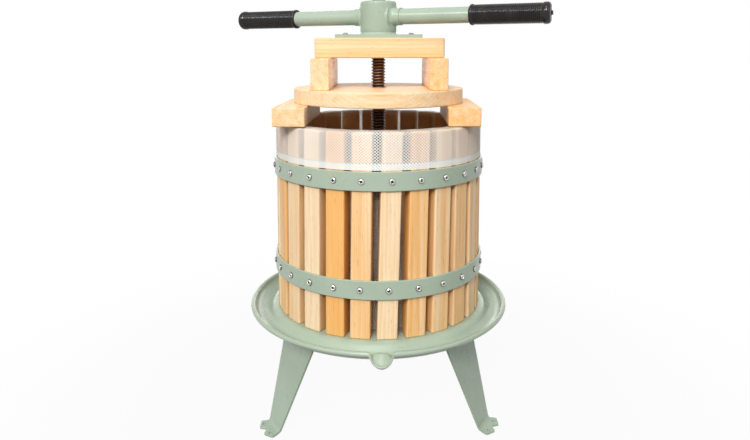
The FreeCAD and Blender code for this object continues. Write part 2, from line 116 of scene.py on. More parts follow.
class Paint:
    # one material; add() makes a node of any kind: its settings first, then values or wires for its sockets
    def __init__(self, name):
        self.material = bpy.data.materials.new(name)
        self.material.use_nodes = True
        self.tree = self.material.node_tree
        self.tree.nodes.clear()

    def add(self, kind, settings=None, sockets=None, output=0):
        node = self.tree.nodes.new(kind)
        for key, value in (settings or {}).items():
            setattr(node, key, value)
        for key, value in (sockets or {}).items():
            socket = node.inputs[key]
            if isinstance(value, Wire):
                self.tree.links.new(value.socket, socket)
            elif socket.type == "RGBA":
                socket.default_value = (*value, 1.0)
            else:
                socket.default_value = value
        return Wire(self, node.outputs[output]) if node.outputs else node

    def maths(self, operation, *values):
        return self.add("ShaderNodeMath", {"operation": operation}, dict(enumerate(values)))

    def vector(self, operation, first, second):
        return self.add("ShaderNodeVectorMath", {"operation": operation}, {0: first, 1: second})

    def place(self):
        return self.add("ShaderNodeTexCoord", output="Object")

    def cloth(self):
        return self.add("ShaderNodeTexCoord", output="UV")

    def parts(self, vector):
        return [self.add("ShaderNodeSeparateXYZ", None, {"Vector": vector}, output=i) for i in range(3)]

    def noise(self, vector, scale, detail=2.0, rough=0.5):
        # scale: one number, or one for each axis
        if not isinstance(scale, float):
            vector, scale = self.vector("MULTIPLY", vector, scale), 1.0
        return self.add("ShaderNodeTexNoise", None,
                        {"Vector": vector, "Scale": scale, "Detail": detail, "Roughness": rough})

    def between(self, value, low, high, start=0.0, end=1.0):
        # an S-curve from start at low to end at high
        return self.add("ShaderNodeMapRange", {"interpolation_type": "SMOOTHSTEP"},
                        {"Value": value, "From Min": low, "From Max": high, "To Min": start, "To Max": end})

    def blend(self, share, first, second, mode="MIX"):
        return self.add("ShaderNodeMix", {"data_type": "RGBA", "blend_type": mode},
                        {0: share, 6: first, 7: second}, output=2)

    def value(self, name, kind="Fac"):
        return self.add("ShaderNodeAttribute", {"attribute_name": name}, output=kind)

    def bump(self, height, strength, distance):
        return self.add("ShaderNodeBump", None,
                        {"Height": height, "Strength": strength, "Distance": distance})

    def finish(self, **sockets):
        # a Principled shader with short names for its sockets
        names = {"colour": "Base Color", "rough": "Roughness", "metal": "Metallic", "normal": "Normal",
                 "alpha": "Alpha", "gloss": "Specular IOR Level"}
        return self.close(self.add("ShaderNodeBsdfPrincipled", None,
                                   {names[key]: value for key, value in sockets.items()}))

    def close(self, shader):
        self.add("ShaderNodeOutputMaterial", None, {"Surface": shader})
        return self.material


# materials

enamelLook = {"colour": (0.400, 0.487, 0.380), "deep": (0.365, 0.448, 0.343), "smooth": 0.22, "dull": 0.30,
              "gloss": 0.4}


def makeEnamel(look):
    # sprayed enamel: tone and gloss drift slowly, and a fine orange peel ripples the surface
    p = Paint("greenEnamel")
    at = p.place()
    colour = p.blend(p.between(p.noise(at, 14.0, 3.0), 0.35, 0.7), look["colour"], look["deep"])
    rough = p.between(p.noise(at, 28.0), 0.3, 0.75, look["smooth"], look["dull"])
    peel = p.noise(at, 420.0, 1.0) + p.noise(at, 75.0, 1.0) * 1.4
    return p.finish(colour=colour, rough=rough, gloss=look["gloss"], normal=p.bump(peel, 0.05, 0.0003))


woodLook = {
    "pale": (0.96, 0.755, 0.51), "warm": (0.90, 0.48, 0.15),
    "ring": 0.0038, "wander": 0.017, "late": (0.90, 0.80, 0.66), "lateShare": 0.34,
    "fibre": (0.93, 0.86, 0.77), "fleck": (0.66, 0.44, 0.26), "fleckShare": 0.25,
    "smooth": 0.46, "rough": 0.60, "gloss": 0.28,
}


def makeWood(name, grain, look):
    # a log cut anywhere: rings are equal steps of distance from its heart, bent by a slow noise;
    # fibres, streaks and short flecks are noises drawn out along the grain axis; a painted shade given for
    # each point darkens the colour
    p = Paint(name)
    local = p.vector("SUBTRACT", p.place(), p.value("heart", "Vector"))

    def drawn(across, along):
        return [along if axis == grain else across for axis in range(3)]

    a, b = [wire for axis, wire in enumerate(p.parts(local)) if axis != grain]
    bend = p.noise(local, drawn(13.0, 2.4)) - 0.5
    steps = (((a * a + b * b) ** 0.5) + bend * look["wander"]) / look["ring"]
    phase = steps.maths("FRACT")
    late = p.between(phase, 0.2, 0.88) * p.between(phase, 0.9, 1.0, 1.0, 0.0)
    fibre = p.noise(local, drawn(760.0, 11.0), 2.0, 0.6)
    streak = p.noise(local, drawn(120.0, 1.6), 2.0, 0.55)
    fleck = p.between(p.noise(local, drawn(520.0, 75.0), 1.0), 0.64, 0.72)
    share = p.value("tone") + (streak - 0.5) * 1.1 + bend * 0.5
    base = p.blend(p.between(share, 0.0, 1.0), look["pale"], look["warm"])
    ringed = p.blend(late * look["lateShare"], base, look["late"], "MULTIPLY")
    combed = p.blend(p.between(fibre, 0.4, 0.72), ringed, look["fibre"], "MULTIPLY")
    flecked = p.blend(fleck * look["fleckShare"], combed, look["fleck"], "MULTIPLY")
    # painted shade: this factor darkens the staves' sides and inner faces
    paintedShadeFactor = p.vector("SUBTRACT", (1.0, 1.0, 1.0), p.value("paintedShade", "Vector"))
    colour = p.blend(1.0, flecked, paintedShadeFactor, "MULTIPLY")
    rough = p.between(fibre, 0.3, 0.7, look["smooth"], look["rough"])
    return p.finish(colour=colour, rough=rough, gloss=look["gloss"],
                    normal=p.bump(fibre * 0.7 - late * 0.3, 0.14, 0.0005))


zincLook = {"bright": (0.66, 0.65, 0.61), "dull": (0.46, 0.45, 0.42), "grimeAndShade": (0.035, 0.033, 0.03),
            "smooth": 0.20, "rough": 0.36}


def makeZinc(look):
    # bright zinc: a crystalline cloud in colour and gloss; painted shade is nearly black
    p = Paint("brightZinc")
    cloud = p.noise(p.place(), 300.0, 3.0)
    plated = p.blend(p.between(cloud, 0.35, 0.7), look["bright"], look["dull"])
    # painted shade: the screw heads' cross recess and rim ring go nearly black
    colour = p.blend(p.value("grimeAndShade"), plated, look["grimeAndShade"])
    rough = p.between(cloud, 0.3, 0.75, look["smooth"], look["rough"])
    return p.finish(colour=colour, metal=1.0, rough=rough, normal=p.bump(cloud, 0.08, 0.0003))


threadSteelLook = {"root": (0.020, 0.012, 0.008), "rootRust": (0.055, 0.030, 0.018),
                   "paleCrest": (0.27, 0.16, 0.095), "brown": (0.13, 0.070, 0.040), "metal": 0.65,
                   "smooth": 0.30, "rough": 0.50}


def makeThreadSteel(look):
    # thread: nearly black in its roots, rusty brown and brighter on its crests
    p = Paint("threadSteel")
    grimeAndShade = p.noise(p.place(), 150.0, 4.0, 0.6)
    root = p.blend(p.between(grimeAndShade, 0.3, 0.7), look["root"], look["rootRust"])
    crest = p.blend(p.between(grimeAndShade, 0.35, 0.7), look["paleCrest"], look["brown"])
    colour = p.blend(p.between(p.value("crest"), 0.25, 1.0), root, crest)
    rough = p.between(grimeAndShade, 0.3, 0.8, look["smooth"], look["rough"])
    return p.finish(colour=colour, metal=look["metal"], rough=rough, normal=p.bump(grimeAndShade, 0.15, 0.0004))


rubberLook = {"black": (0.009, 0.007, 0.007), "dusty": (0.020, 0.017, 0.016), "smooth": 0.10, "dull": 0.17,
              "gloss": 0.34}


def makeRubber(look):
    # moulded rubber: fine grain, dust that lifts the black a little and dulls it
    p = Paint("blackRubber")
    at = p.place()
    dust = p.noise(at, 70.0, 3.0)
    colour = p.blend(p.between(dust, 0.4, 0.75), look["black"], look["dusty"])
    rough = p.between(dust, 0.3, 0.8, look["smooth"], look["dull"])
    return p.finish(colour=colour, rough=rough, gloss=look["gloss"],
                    normal=p.bump(p.noise(at, 800.0), 0.05, 0.0003))


netLook = {"pitch": 0.0026, "thread": 0.31, "soft": 0.02, "cover": 1.0, "inner": 0.46,
           "second": 0.42, "skew": 0.6, "rough": 0.6, "gloss": 0.25,
           # the last colour is painted shade for the threads inside the basket
           "white": (0.94, 0.95, 0.915), "cream": (0.90, 0.905, 0.86), "insideShade": (0.76, 0.69, 0.59)}


def makeNet(look):
    # an open net: two families of threads cross at 45 degrees; a second, shifted layer lies in the hem,
    # and threads inside the basket carry a painted shade, a darker colour, and let more through
    p = Paint("whiteNet")
    across, along, _ = p.parts(p.cloth())
    half = 0.5 ** 0.5

    def family(line, shift):
        # 0 in the middle of a hole, 0.5 in the middle of a thread
        return (((line * half) / look["pitch"] + shift).maths("FRACT") - 0.5).maths("ABSOLUTE")

    def layer(shift):
        return family(across + along, shift).maths("MAXIMUM", family(across - along, shift * look["skew"]))

    edge = 0.5 - look["thread"] / 2
    near = layer(0.0)
    low, high = edge - look["soft"] / 2, edge + look["soft"] / 2
    cover = p.between(near, low, high)
    second = p.between(layer(look["second"]), low, high) * p.value("hem")
    cloud = p.noise(p.place(), 35.0)
    unshadedThread = p.blend(p.between(cloud, 0.35, 0.7), look["white"], look["cream"])
    # painted shade: threads inside the basket take the darker colour
    colour = p.blend(p.value("shadedInside"), unshadedThread, look["insideShade"])
    share = look["cover"] - p.value("shadedInside") * (look["cover"] - look["inner"])
    return p.finish(colour=colour, rough=look["rough"], gloss=look["gloss"],
                    alpha=cover.maths("MAXIMUM", second) * share, normal=p.bump(near, 0.3, 0.0004))


enamel = makeEnamel(enamelLook)
staveWood = makeWood("staveBeech", 2, woodLook)
blockWood = makeWood("blockBeech", 1, woodLook)
beamWood = makeWood("beamBeech", 0, woodLook)
zinc = makeZinc(zincLook)
threadSteel = makeThreadSteel(threadSteelLook)
rubber = makeRubber(rubberLook)
whiteNet = makeNet(netLook)
print("materials made")


# floor, backdrop and lamps

stageLook = {"floor": (0.30, 0.30, 0.30), "half": 6.0, "drop": 0.0004, "shadow": 0.05,
             "near": 0.25, "far": 0.75, "world": 0.16}
lamps = {
    "key": {"at": (-1.0, -4.3, 3.2), "to": (0, 0, 0.3), "size": 1.3, "power": 174.0},
    "left": {"at": (-3.3, -2.87, 2.75), "to": (0, 0, 0.4), "size": 0.9, "power": 57.0},
    "right": {"at": (3.4, -2.4, 2.2), "to": (0, 0, 0.3), "size": 2.2, "power": 27.0},
    "top": {"at": (-0.15, -1.3, 2.4), "to": (0, 0, 0.4), "size": 1.2, "power": 17.0},
    "back": {"at": (0.2, 4.4, 1.0), "to": (0, 0, 0.35), "size": 6.0, "tall": 1.7, "power": 64.0},
}


def makeFloor(look):
    # light meets a plain floor; the camera, mirrors and glass see it blended into white,
    # with a share of its shading kept near the object only
    p = Paint("paleFloor")
    x, y, _ = p.parts(p.place())
    far = p.between((x * x + y * y) ** 0.5, look["near"], look["far"])
    camera, glossy, clear = [p.add("ShaderNodeLightPath", output=name)
                             for name in ("Is Camera Ray", "Is Glossy Ray", "Is Transmission Ray")]
    seen = camera.maths("MAXIMUM", glossy).maths("MAXIMUM", clear)
    share = seen * (1.0 - look["shadow"] * (1.0 - far))
    lit = p.add("ShaderNodeBsdfPrincipled", None,
                {"Base Color": look["floor"], "Roughness": 0.9, "Specular IOR Level": 0.0})
    white = p.add("ShaderNodeEmission", None, {"Color": (1.0, 1.0, 1.0), "Strength": 1.0})
    p.close(p.add("ShaderNodeMixShader", None, {0: share, 1: lit, 2: white}))
    half = look["half"]
    corners = [(x, y, -look["drop"]) for x, y in ((-half, -half), (half, -half), (half, half), (-half, half))]
    mesh = bpy.data.meshes.new("floor")
    mesh.from_pydata(corners, [], [(0, 1, 2, 3)])
    mesh.materials.append(p.material)
    floor = bpy.data.objects.new("floor", mesh)
    bpy.context.scene.collection.objects.link(floor)


def makeWorld(look):
    # white to the camera, mirrors and glass; a weaker white lights everything else
    world = bpy.data.worlds.new("studio")
    bpy.context.scene.world = world
    world.use_nodes = True
    tree = world.node_tree
    tree.nodes.clear()
    path = tree.nodes.new("ShaderNodeLightPath")
    seen = [tree.nodes.new("ShaderNodeMath") for _ in range(2)]
    for node in seen:
        node.operation = "MAXIMUM"
    pick = tree.nodes.new("ShaderNodeMixShader")
    end = tree.nodes.new("ShaderNodeOutputWorld")
    tree.links.new(path.outputs["Is Camera Ray"], seen[0].inputs[0])
    tree.links.new(path.outputs["Is Glossy Ray"], seen[0].inputs[1])
    tree.links.new(seen[0].outputs[0], seen[1].inputs[0])
    tree.links.new(path.outputs["Is Transmission Ray"], seen[1].inputs[1])
    tree.links.new(seen[1].outputs[0], pick.inputs[0])
    for socket, strength in ((1, look["world"]), (2, 1.0)):
        light = tree.nodes.new("ShaderNodeBackground")
        light.inputs["Color"].default_value = (1.0, 1.0, 1.0, 1.0)
        light.inputs["Strength"].default_value = strength
        tree.links.new(light.outputs[0], pick.inputs[socket])
    tree.links.new(pick.outputs[0], end.inputs["Surface"])


def addLamps(values):
    # area lamps, square unless a height is given, each aimed along the line from its place to its target
    for name, look in values.items():
        data = bpy.data.lights.new(name, "AREA")
        data.shape = "RECTANGLE"
        data.size = look["size"]
        data.size_y = look.get("tall", look["size"])
        data.energy = look["power"]
        lamp = bpy.data.objects.new(name, data)
        aim = Vector(look["to"]) - Vector(look["at"])
        lamp.location = look["at"]
        lamp.rotation_euler = aim.to_track_quat("-Z", "Y").to_euler()
        bpy.context.scene.collection.objects.link(lamp)


makeFloor(stageLook)
makeWorld(stageLook)
addLamps(lamps)
bpy.context.scene.view_settings.view_transform = "Standard"
print("stage and lamps placed")


# surfaces from arrays

def smooth(value):
    # an S-curve from 0 to 1
    value = np.clip(value, 0, 1)
    return value * value * (3 - 2 * value)


def chance(number, seed):
    # a repeatable fraction between 0 and 1
    return math.sin(number * 12.9898 + seed * 78.233) * 43758.5453 % 1


def gridFaces(rows, columns, closedRows=False, closedColumns=True):
    # a quad between each four neighbours of a grid of points
    r, c = np.meshgrid(np.arange(rows if closedRows else rows - 1),
                       np.arange(columns if closedColumns else columns - 1), indexing="ij")
    r2, c2 = (r + 1) % rows, (c + 1) % columns
    quads = np.stack([r * columns + c, r * columns + c2, r2 * columns + c2, r2 * columns + c], axis=-1)
    return quads.reshape(-1, 4)


def meshOf(name, points, faces):
    # points: n x 3; faces: arrays of corner indices, each array with its own corner count
    mesh = bpy.data.meshes.new(name)
    points = np.asarray(points, np.float32).reshape(-1, 3)
    loops = np.concatenate([np.asarray(f, np.int32).reshape(-1) for f in faces])
    sizes = np.concatenate([np.full(len(f), np.asarray(f).shape[1], np.int32) for f in faces])
    mesh.vertices.add(len(points))
    mesh.vertices.foreach_set("co", points.reshape(-1))
    mesh.loops.add(len(loops))
    mesh.loops.foreach_set("vertex_index", loops)
    mesh.polygons.add(len(sizes))
    mesh.polygons.foreach_set("loop_start", (np.cumsum(sizes) - sizes).astype(np.int32))
    mesh.update(calc_edges=True)
    mesh.polygons.foreach_set("use_smooth", np.ones(len(sizes), bool))
    return mesh, loops


def addPiece(name, mesh, material, body, stands):
    # stands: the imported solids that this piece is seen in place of
    mesh.materials.append(material)
    piece = bpy.data.objects.new(name, mesh)
    bpy.context.scene.collection.objects.link(piece)
    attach(piece, body)
    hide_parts(*stands)
    return piece


def setValues(mesh, values):
    # numbers or vectors for the shader, one for the whole piece or one for each point
    count = len(mesh.vertices)
    for key, value in (values or {}).items():
        value = np.asarray(value, np.float32)
        vector = value.shape[-1:] == (3,)
        layer = mesh.attributes.new(key, "FLOAT_VECTOR" if vector else "FLOAT", "POINT")
        spread = np.broadcast_to(value, (count, 3) if vector else (count,))
        layer.data.foreach_set("vector" if vector else "value", spread.reshape(-1).copy())


def addSurface(name, points, faces, material, body, stands, values=None, cloth=None):
    mesh, loops = meshOf(name, points, faces)
    setValues(mesh, values)
    if cloth is not None:
        layer = mesh.uv_layers.new(name="UVMap")
        layer.data.foreach_set("uv", np.asarray(cloth, np.float32)[loops].reshape(-1))
    return addPiece(name, mesh, material, body, stands)


def lathe(profile, columns):
    # rows of (radius, height) turned round Z
    profile = np.asarray(profile, float)
    t = np.linspace(0, fullTurn, columns, endpoint=False)
    r, z = profile[:, :1], profile[:, 1:]
    return np.stack([r * np.cos(t), r * np.sin(t), z * np.ones_like(t)], axis=-1)


def softened(corners, edge, steps=3):
    # a closed outline with its square corners made arcs; a point beside each arc keeps the flats flat
    corners = np.asarray(corners, float)
    step = np.roll(corners, -1, axis=0) - corners
    leave = step / np.linalg.norm(step, axis=1, keepdims=True)
    arrive = np.roll(leave, 1, axis=0)
    turn = np.linspace(0, math.pi / 2, steps + 1)[:, None, None]
    arc = corners + edge * (leave * (1 - np.cos(turn)) - arrive * (1 - np.sin(turn)))
    rows = np.concatenate([[corners - 2 * edge * arrive], arc, [corners + 2 * edge * leave]])
    return rows.transpose(1, 0, 2).reshape(-1, 2)


def roundBar(width, depth, length, edge, steps=3):
    # a softened rectangle carried along Z from 0, drawn in along a quarter circle at both ends
    x, y = width / 2, depth / 2
    section = softened([(x, -y), (x, y), (-x, y), (-x, -y)], edge, steps)
    turn = np.linspace(0, math.pi / 2, steps + 1)
    inset = np.concatenate([[2 * edge], edge * (1 - np.sin(turn)), [0.0]])
    rise = np.concatenate([[0.0], edge * (1 - np.cos(turn)), [2 * edge]])
    inset = np.concatenate([inset, inset[::-1]])
    z = np.concatenate([rise, length - rise[::-1]])
    rows = section * (1 - inset[:, None, None] / np.array([x, y]))
    points = np.concatenate([rows, np.broadcast_to(z[:, None, None], (*rows.shape[:2], 1))], axis=-1)
    n, m = points.shape[:2]
    return points, [gridFaces(n, m), np.arange(m)[None, ::-1], (np.arange(m) + (n - 1) * m)[None]]


def turnZ(points, angle):
    # angle: one for all points or one for each
    c, s = np.cos(angle), np.sin(angle)
    x, y, z = points[..., 0], points[..., 1], points[..., 2]
    return np.stack([x * c - y * s, x * s + y * c, z], axis=-1)


def boxOf(node):
    return [np.array(corner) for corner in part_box(node)]


def centreOf(node):
    low, high = boxOf(node)
    return (low + high) / 2


copyLook = {"weld": 2e-6, "flat": math.radians(0.5), "sharp": math.radians(28), "segments": 2}


def roundedCopy(node, name, material, body, edge, values=None):
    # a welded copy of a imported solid, its flat faces joined and its sharp edges rounded
    shape = bmesh.new()
    shape.from_mesh(nodes[node].data)
    bmesh.ops.remove_doubles(shape, verts=shape.verts, dist=copyLook["weld"])
    bmesh.ops.dissolve_limit(shape, angle_limit=copyLook["flat"], verts=shape.verts, edges=shape.edges)
    mesh = bpy.data.meshes.new(name)
    mesh.from_pydata([v.co[:] for v in shape.verts], [], [[v.index for v in f.verts] for f in shape.faces])
    shape.free()
    mesh.polygons.foreach_set("use_smooth", np.ones(len(mesh.polygons), bool))
    setValues(mesh, values)
    piece = addPiece(name, mesh, material, body, [node])
    bevel = piece.modifiers.new("rounded edges", "BEVEL")
    bevel.width = edge
    bevel.segments = copyLook["segments"]
    bevel.limit_method = "ANGLE"
    bevel.angle_limit = copyLook["sharp"]
    bevel.harden_normals = True
    return piece


# tray: rows from the hole over the platform, down a soft step, up the wall, round the rolled rim
# and back below; near the spout each row moves towards a second path, which climbs to a sill
# and falls to the tip

trayLook = {
    "hole": 0.0103, "platform": 0.1535, "sheet": 0.0018, "platformRadius": 0.1464, "depth": 0.0105,
    "stepTurn": math.radians(55), "top": 0.1564, "outer": 0.18454, "roll": 0.0032, "rollEnd": -124,
    "floorRows": 6, "stepRows": 11, "wallRows": 24, "rollRows": 18, "backLean": math.radians(72),
    "near": 6.6, "nearStep": 0.12, "farColumns": 230,
    "spout": {"tip": 0.1960, "root": 0.0174, "power": 2.0, "flare": 0.7, "sill": 0.0118, "sillAt": 0.45,
              "fall": 0.0106, "edge": 0.0022, "bead": 0.0012},
}


def trayPaths(look, depth):
    # (radius, height) rows of one face of the sheet: up to the gutter, then the wall, plain and at the spout;
    # the wall is an arc that leaves the gutter level and runs smoothly into the roll at the angle lean
    bend = look["depth"] / (2 * (1 - math.cos(look["stepTurn"])))
    turn = np.linspace(0, look["stepTurn"], look["stepRows"])
    inner = look["platformRadius"] + 2 * bend * math.sin(look["stepTurn"])
    bottom = look["platform"] - look["depth"]
    roll, tall = look["roll"], look["top"] - bottom
    lean = 2 * math.atan(tall / (look["outer"] - inner - roll))
    arc = tall / (1 - math.cos(lean)) - roll
    level = np.linspace(look["hole"], look["platformRadius"] - 0.001, look["floorRows"])
    radii = [level, look["platformRadius"] + (bend - depth) * np.sin(turn[:-1]),
             inner - (bend + depth) * np.sin(turn[::-1])]
    heights = [level * 0 + look["platform"] - depth,
               look["platform"] - bend + (bend - depth) * np.cos(turn[:-1]),
               bottom + bend - (bend + depth) * np.cos(turn[::-1])]
    start = np.stack([np.concatenate(radii), np.concatenate(heights)], axis=-1)
    # the back of the wall stops short of the roll, so it can't come out in front
    end = lean if depth == 0 else min(lean, look["backLean"])
    climb = np.linspace(0, end, look["wallRows"])[1:]
    wall = np.stack([inner + (arc + depth) * np.sin(climb),
                     bottom + arc - (arc + depth) * np.cos(climb)], axis=-1)
    spout = look["spout"]
    along = np.linspace(0, 1, look["wallRows"])[1:]
    rise = spout["sill"] * smooth(along / spout["sillAt"])
    fall = spout["fall"] * smooth((along - spout["sillAt"]) / (1 - spout["sillAt"]))
    channel = np.stack([inner + (spout["tip"] - inner) * along, bottom + rise - fall - depth], axis=-1)
    return start, wall, channel, lean


def makeTray(look):
    # columns lie close together round the spout, in degrees from it, and wider apart elsewhere
    spout = look["spout"]
    near = np.radians(np.arange(-look["near"], look["near"] + 0.01, look["nearStep"]))
    rest = np.radians(np.linspace(look["near"], 360 - look["near"], look["farColumns"]))[1:-1]
    angle = np.concatenate([near, rest])
    topStart, topWall, topChannel, lean = trayPaths(look, 0.0)
    lowStart, lowWall, lowChannel, _ = trayPaths(look, look["sheet"])
    turn = np.radians(np.linspace(90 + math.degrees(lean), look["rollEnd"], look["rollRows"])[1:])
    circle = np.stack([np.cos(turn), np.sin(turn)], axis=-1)
    rim = [look["outer"] - look["roll"], look["top"] - look["roll"]] + look["roll"] * circle
    tip = (topChannel[-1] + lowChannel[-1]) / 2 + [0.0, spout["edge"] / 2]
    plain = np.concatenate([topStart, topWall, rim, lowWall[::-1], lowStart[::-1]])
    beaked = np.concatenate([topStart, topChannel, tip + spout["bead"] * circle,
                             lowChannel[::-1], lowStart[::-1]])
    aside = np.where(np.cos(angle) > 0, np.abs(np.sin(angle)), 1.0) * look["outer"]
    beak = np.clip(1 - (aside / spout["root"]) ** spout["power"], 0, 1)
    share = (beak * smooth(beak / spout["flare"]))[None, :, None]
    rows = plain[:, None] * (1 - share) + beaked[:, None] * share
    r, z = rows[..., 0], rows[..., 1]
    points = np.stack([r * np.sin(angle), -r * np.cos(angle), z], axis=-1)
    addSurface("pressed_tray", points, [gridFaces(*r.shape, closedRows=True)[:, ::-1]], enamel, "stand",
               ["tray"])


makeTray(trayLook)
print("tray made")


# legs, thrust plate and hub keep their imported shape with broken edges; hoops are turned strips

for leg in ("leg_rear", "leg_front_left", "leg_front_right"):
    roundedCopy(leg, "pressed_" + leg, enamel, "stand", 0.0006)
roundedCopy("thrust_plate", "flat_thrust_plate", enamel, "beam", 0.0005)
roundedCopy("handle_hub", "cast_handle_hub", enamel, "handle", 0.0009)

hoopLook = {"thickness": 0.003, "edge": 0.0007, "columns": 260}


def makeHoops(look):
    # a softened strip section turned round the spindle
    for node in ("lower_hoop", "upper_hoop"):
        low, high = boxOf(node)
        outer = (high[0] - low[0]) / 2
        inner = outer - look["thickness"]
        section = softened([(inner, low[2]), (outer, low[2]), (outer, high[2]), (inner, high[2])],
                           look["edge"])
        rows = lathe(section, look["columns"])
        addSurface("strip_" + node, rows, [gridFaces(len(section), look["columns"], closedRows=True)],
                   enamel, "basket", [node])


makeHoops(hoopLook)
print("hoops and plates made")


# staves

staveLook = {
    "count": 26, "width": 0.0255, "thickness": 0.018, "radius": 0.145, "turn": -2.4, "edge": 0.0016,
    # the last two colours on the next line are painted shade, taken off the inner faces and the sides
    "hoops": (0.2179, 0.3545), "loose": 0.0012, "paintedShade": (0.0, 0.27, 0.74), "paintedSideShade": (0.34, 0.52, 0.84),
    "slides": {1: (-0.0018, 0.0018), 2: (0.0004, 0.0031), 3: (0.0007, 0.0035), 4: (0.0006, 0.0030),
               5: (0.0010, 0.0015), 22: (-0.0020, -0.0003), 23: (-0.0029, -0.0015), 24: (-0.0013, 0.0),
               25: (-0.0010, 0.0), 26: (-0.0020, 0.0)},
    "tones": {1: 0.22, 2: 0.58, 3: 0.35, 4: 0.45, 5: 0.30, 6: 0.5, 21: 0.3, 22: 0.55, 23: 0.30, 24: 0.12,
              25: 0.98, 26: 0.47},
}


def staveAngle(look, i, height):
    # equal steps round the basket, plus how far the stave is slid along the hoops at this height
    low, high = look["hoops"]
    free = (look["loose"] * (chance(i, 5) - 0.5), look["loose"] * (chance(i, 6) - 0.5))
    start, end = look["slides"].get(i + 1, free)
    slide = start + (end - start) * (height - low) / (high - low)
    return math.radians(-90 + look["turn"] + (i + 0.5) * 360 / look["count"]) + slide / look["radius"]


def makeStaves(look):
    # each bar is turned to its angle at every height;
    # its sides take a painted shade from just behind the front, and its inner face a deeper painted shade of
    # its own
    low, high = boxOf("stave_01")
    for i in range(look["count"]):
        name = "stave_%02d" % (i + 1)
        points, faces = roundBar(look["thickness"], look["width"], high[2] - low[2], look["edge"])
        points = points + [look["radius"] - look["thickness"] / 2, 0, low[2]]
        own, off = chance(i, 1), chance(i, 2)
        heart = np.array([look["radius"] - 0.05 - 0.10 * own, (off - 0.5) * 0.14, own * 3.0])
        angle = staveAngle(look, i, points[..., 2])
        depth = ((look["radius"] - points[..., 0]) / look["thickness"])[..., None]
        # painted shade: the sides darken from just behind the front, the inner face darker still
        side = smooth(depth * 3 - 0.2) * np.array(look["paintedSideShade"])
        paintedShade = side + smooth(depth * 12 - 11) * (np.array(look["paintedShade"]) - side)
        addSurface("wood_" + name, turnZ(points, angle), faces, staveWood, "basket", [name],
                   {"heart": turnZ(heart, angle.mean()), "tone": look["tones"].get(i + 1, 0.15 + 0.5 * own),
                    "paintedShade": paintedShade.reshape(-1, 3)})


makeStaves(staveLook)
print("staves made")


# blocks, disc and crossbeam; heart is how far off the log's middle lies

blockLook = {
    "edge": 0.0014,
    "lower": {"size": (0.042, 0.160, 0.0246), "turn": math.radians(-3)},
    "upper": {"size": (0.0246, 0.160, 0.042), "turn": math.radians(-1.5)},
    "pieces": {
        "lower_block_left": ("lower", "left_lower_block", (0.02, 0.7, 0.11), 0.40),
        "lower_block_right": ("lower", "right_lower_block", (-0.09, 0.4, 0.10), 0.62),
        "upper_block_left": ("upper", "left_upper_block", (0.10, 1.1, 0.06), 0.30),
        "upper_block_right": ("upper", "right_upper_block", (-0.08, 0.9, 0.09), 0.56),
    },
}
discLook = {"hole": 0.012, "edge": 0.0015, "columns": 200, "heart": (0.6, 0.10, -0.16), "tone": 0.24}
beamLook = {"edge": 0.0014, "heart": (1.3, 0.05, -0.12), "tone": 0.42}


def makeBlocks(look):
    # bars laid along Y, turned about their own middles
    for node, (kind, body, heart, tone) in look["pieces"].items():
        x, y, z = look[kind]["size"]
        points, faces = roundBar(x, z, y, look["edge"])
        laid = np.stack([points[..., 0], points[..., 2] - y / 2, -points[..., 1]], axis=-1)
        middle = centreOf(node)
        addSurface("wood_" + node, turnZ(laid, look[kind]["turn"]) + middle, faces, blockWood, body,
                   [node], {"heart": middle + heart, "tone": tone})


def makeDisc(look):
    low, high = boxOf("press_disc")
    radius = (high[0] - low[0]) / 2
    profile = softened([(look["hole"], low[2]), (radius, low[2]), (radius, high[2]), (look["hole"], high[2])],
                       look["edge"])
    middle = (low + high) / 2
    rows = lathe(profile, look["columns"]) + [middle[0], middle[1], 0]
    addSurface("wood_press_disc", rows, [gridFaces(len(profile), look["columns"], closedRows=True)],
               beamWood, "disc", ["press_disc"],
               {"heart": middle + look["heart"], "tone": look["tone"]})


def makeBeam(look):
    roundedCopy("crossbeam", "wood_crossbeam", beamWood, "beam", look["edge"],
                {"heart": centreOf("crossbeam") + look["heart"], "tone": look["tone"]})


makeBlocks(blockLook)
makeDisc(discLook)
makeBeam(beamLook)
print("blocks, disc and beam made")


# spindle

threadLook = {"pitch": 0.0042, "depth": 0.0020, "around": 40, "steps": 8, "end": 0.0015, "taper": 0.14,
              "root": 0.30, "flank": 0.40}


def makeSpindle(look):
    # the radius follows a wave with flat crests and roots that climbs one pitch per turn;
    # it tapers at both ends
    low, high = boxOf("spindle")
    radius = (high[0] - low[0]) / 2
    rows = int((high[2] - low[2]) / look["pitch"] * look["steps"])
    z = np.linspace(low[2], high[2], rows)[:, None]
    t = np.linspace(0, fullTurn, look["around"], endpoint=False)[None]
    wave = np.abs(((z / look["pitch"] - t / fullTurn) % 1) * 2 - 1)
    crest = np.clip((wave - look["root"]) / look["flank"], 0, 1)
    ends = np.clip(np.minimum(z - low[2], high[2] - z) / look["end"], 0, 1)
    r = (radius - look["depth"] * (1 - crest)) * (1 - look["taper"] * (1 - ends))
    points = np.stack([r * np.cos(t), r * np.sin(t), z * np.ones_like(t)], axis=-1)
    n, m = r.shape
    faces = [gridFaces(n, m), np.arange(m)[None, ::-1], (np.arange(m) + (n - 1) * m)[None]]
    addSurface("threaded_spindle", points, faces, threadSteel, "stand", ["spindle"],
               {"crest": crest.reshape(-1)})


makeSpindle(threadLook)
print("spindle made")


# round-head screws with a cross recess

screwLook = {"radius": 0.0040, "height": 0.0026, "plateHeight": 0.0032, "arm": 0.19, "reach": 0.60,
             "deep": 0.7, "fade": 0.25, "cut": 0.96, "power": 2.4, "rimShade": 0.8, "rimStart": 0.80,
             "rimWidth": 0.2, "columns": 32, "rows": 13}


